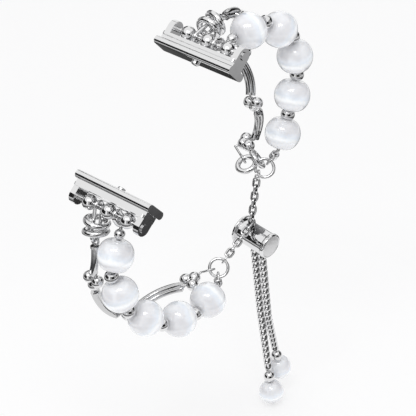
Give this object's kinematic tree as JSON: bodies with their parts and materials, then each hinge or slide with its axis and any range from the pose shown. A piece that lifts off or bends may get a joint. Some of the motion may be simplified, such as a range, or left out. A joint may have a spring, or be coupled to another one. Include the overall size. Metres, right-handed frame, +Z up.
{
  "type": "watch band",
  "caption": "Beaded jewellery watch band: slide-in lug adapters carry cat's-eye bead strands and polished bar strands that meet at end rings, closed by chains through a slider.",
  "frame": {"origin": "centre of the watch case that the band fits, midway between the two adapters", "axes": "+Z up as the watch stands on show, leaning back with the band hanging below it; +X across the band towards the bead strands; +Y away from the viewer"},
  "size_m": [0.0231, 0.0669, 0.1072],
  "materials": {
    "polished_steel": "mirror-polished stainless steel",
    "chain_steel": "polished fine link chain",
    "wire_steel": "drawn steel wire",
    "spring_steel": "rolled spring strip",
    "brushed_cap": "satin face with a polished rim",
    "cats_eye": "milky cat's-eye glass with a silky band",
    "silicone": "translucent silicone rubber"
  },
  "bodies": {
    "adapters": {"upper_adapter": "polished_steel", "upper_cross_pin": "polished_steel", "upper_latch_spring": "spring_steel", "lower_adapter": "polished_steel", "lower_cross_pin": "polished_steel", "lower_latch_spring": "spring_steel"},
    "upper_latch": {"upper_latch_button": "polished_steel"},
    "lower_latch": {"lower_latch_button": "polished_steel"},
    "upper_pin_balls": {"upper_pin_balls": "polished_steel"},
    "lower_pin_balls": {"lower_pin_balls": "polished_steel"},
    "upper_strand": {"upper_bead_link": "polished_steel", "upper_bead_wire": "wire_steel", "upper_collar_ball": "polished_steel", "upper_spacers": "polished_steel", "upper_crimp": "polished_steel", "upper_knot_link": "polished_steel", "upper_knot_ring_inner": "polished_steel", "upper_knot_ring_outer": "polished_steel", "upper_metal_wire": "wire_steel", "upper_curved_bars": "polished_steel", "upper_ball_clusters": "polished_steel", "upper_end_ring": "polished_steel", "upper_end_knot": "polished_steel"},
    "lower_strand": {"lower_bead_link": "polished_steel", "lower_bead_wire": "wire_steel", "lower_collar_ball": "polished_steel", "lower_spacers": "polished_steel", "lower_crimp": "polished_steel", "lower_knot_link": "polished_steel", "lower_knot_ring_inner": "polished_steel", "lower_knot_ring_outer": "polished_steel", "lower_metal_wire": "wire_steel", "lower_curved_bars": "polished_steel", "lower_ball_clusters": "polished_steel", "lower_end_ring": "polished_steel"},
    "hanging_chain": {"upper_chain": "chain_steel", "front_tail": "chain_steel", "back_tail": "chain_steel"},
    "closing_chain": {"lower_chain": "chain_steel"},
    "slider": {"slider_barrel": "polished_steel", "slider_cap": "brushed_cap", "slider_core": "silicone"},
    "front_tail_end": {"front_drop": "chain_steel", "front_head_pin": "wire_steel", "front_end_cap": "polished_steel"},
    "back_tail_end": {"back_drop": "chain_steel", "back_head_pin": "wire_steel", "back_end_cap": "polished_steel"},
    "front_tail_bead": {"front_tail_bead": "cats_eye"},
    "back_tail_bead": {"back_tail_bead": "cats_eye"},
    "upper_bead_1": {"upper_bead_1": "cats_eye"},
    "upper_bead_2": {"upper_bead_2": "cats_eye"},
    "upper_bead_3": {"upper_bead_3": "cats_eye"},
    "upper_bead_4": {"upper_bead_4": "cats_eye"},
    "upper_bead_5": {"upper_bead_5": "cats_eye"},
    "lower_bead_1": {"lower_bead_1": "cats_eye"},
    "lower_bead_2": {"lower_bead_2": "cats_eye"},
    "lower_bead_3": {"lower_bead_3": "cats_eye"},
    "lower_bead_4": {"lower_bead_4": "cats_eye"},
    "lower_bead_5": {"lower_bead_5": "cats_eye"}
  },
  "joints": [
    {"name": "upper_latch_press", "type": "slide", "parent": "adapters", "child": "upper_latch", "axis": [0, 0.809, 0.5878], "range_m": [0, 0.0006], "stiffness_N_per_m": 100},
    {"name": "upper_balls_spin", "type": "hinge", "parent": "adapters", "child": "upper_pin_balls", "pos_m": [0, 0.01745, 0.01163], "axis": [1, 0, 0], "continuous": true},
    {"name": "upper_strand_lift", "type": "hinge", "parent": "adapters", "child": "upper_strand", "pos_m": [0, 0.01745, 0.01163], "axis": [1, 0, 0], "range_deg": [0, 6]},
    {"name": "lower_latch_press", "type": "slide", "parent": "adapters", "child": "lower_latch", "axis": [0, -0.809, -0.5878], "range_m": [0, 0.0006], "stiffness_N_per_m": 100},
    {"name": "lower_balls_spin", "type": "hinge", "parent": "adapters", "child": "lower_pin_balls", "pos_m": [0, -0.01645, -0.013], "axis": [1, 0, 0], "continuous": true},
    {"name": "lower_strand_lift", "type": "hinge", "parent": "adapters", "child": "lower_strand", "pos_m": [0, -0.01645, -0.013], "axis": [1, 0, 0], "range_deg": [0, 5.6]},
    {"name": "hanging_chain_swing", "type": "hinge", "parent": "upper_strand", "child": "hanging_chain", "pos_m": [0.00119, 0.02736, -0.0279], "axis": [1, 0, 0], "range_deg": [-6.1, 0]},
    {"name": "closing_chain_swing", "type": "hinge", "parent": "lower_strand", "child": "closing_chain", "pos_m": [0.00346, 0.01201, -0.04208], "axis": [1, 0, 0], "range_deg": [-12.2, 0]},
    {"name": "slider_slide", "type": "slide", "parent": "hanging_chain", "child": "slider", "axis": [0, 0, -1], "range_m": [0, 0.015]},
    {"name": "front_tail_swing", "type": "hinge", "parent": "hanging_chain", "child": "front_tail_end", "pos_m": [0.00148, 0.02368, -0.06518], "axis": [-1, 0, 0], "range_deg": [0, 20]},
    {"name": "front_tail_bead_spin", "type": "hinge", "parent": "front_tail_end", "child": "front_tail_bead", "pos_m": [0.00384, 0.02248, -0.08837], "axis": [0.1009, -0.0514, -0.9936], "continuous": true},
    {"name": "back_tail_swing", "type": "hinge", "parent": "hanging_chain", "child": "back_tail_end", "pos_m": [0.00388, 0.02368, -0.06518], "axis": [0.9135, 0.4067, 0], "range_deg": [0, 20]},
    {"name": "back_tail_bead_spin", "type": "hinge", "parent": "back_tail_end", "child": "back_tail_bead", "pos_m": [0.00219, 0.02748, -0.08476], "axis": [-0.0846, 0.1899, -0.9781], "continuous": true},
    {"name": "upper_bead_1_spin", "type": "hinge", "parent": "upper_strand", "child": "upper_bead_1", "pos_m": [0.0031, 0.0269, 0.01071], "axis": [0.1045, 0.9944, -0.0174], "continuous": true},
    {"name": "upper_bead_2_spin", "type": "hinge", "parent": "upper_strand", "child": "upper_bead_2", "pos_m": [0.00405, 0.03538, 0.00719], "axis": [0.0872, 0.7166, -0.692], "continuous": true},
    {"name": "upper_bead_3_spin", "type": "hinge", "parent": "upper_strand", "child": "upper_bead_3", "pos_m": [0.00466, 0.03895, -0.00124], "axis": [0.0349, 0, -0.9994], "continuous": true},
    {"name": "upper_bead_4_spin", "type": "hinge", "parent": "upper_strand", "child": "upper_bead_4", "pos_m": [0.00482, 0.03694, -0.01034], "axis": [0, -0.4226, -0.9063], "continuous": true},
    {"name": "upper_bead_5_spin", "type": "hinge", "parent": "upper_strand", "child": "upper_bead_5", "pos_m": [0.00474, 0.03297, -0.01847], "axis": [-0.0175, -0.4539, -0.8909], "continuous": true},
    {"name": "lower_bead_1_spin", "type": "hinge", "parent": "lower_strand", "child": "lower_bead_1", "pos_m": [0.00268, -0.01854, -0.02211], "axis": [0.0175, -0.4226, -0.9062], "continuous": true},
    {"name": "lower_bead_2_spin", "type": "hinge", "parent": "lower_strand", "child": "lower_bead_2", "pos_m": [0.00387, -0.01986, -0.03123], "axis": [0.225, 0.1524, -0.9624], "continuous": true},
    {"name": "lower_bead_3_spin", "type": "hinge", "parent": "lower_strand", "child": "lower_bead_3", "pos_m": [0.00631, -0.0158, -0.03924], "axis": [0.2756, 0.6797, -0.6797], "continuous": true},
    {"name": "lower_bead_4_spin", "type": "hinge", "parent": "lower_strand", "child": "lower_bead_4", "pos_m": [0.00806, -0.0079, -0.04384], "axis": [0.0872, 0.9576, -0.2746], "continuous": true},
    {"name": "lower_bead_5_spin", "type": "hinge", "parent": "lower_strand", "child": "lower_bead_5", "pos_m": [0.00798, 0.0014, -0.0445], "axis": [-0.1045, 0.9848, 0.1384], "continuous": true}
  ],
  "couplings": [
    {"joint": "lower_strand_lift", "follows": "upper_strand_lift", "ratio": 0.92},
    {"joint": "hanging_chain_swing", "follows": "upper_strand_lift", "ratio": -1},
    {"joint": "closing_chain_swing", "follows": "upper_strand_lift", "ratio": -1.95}
  ]
}
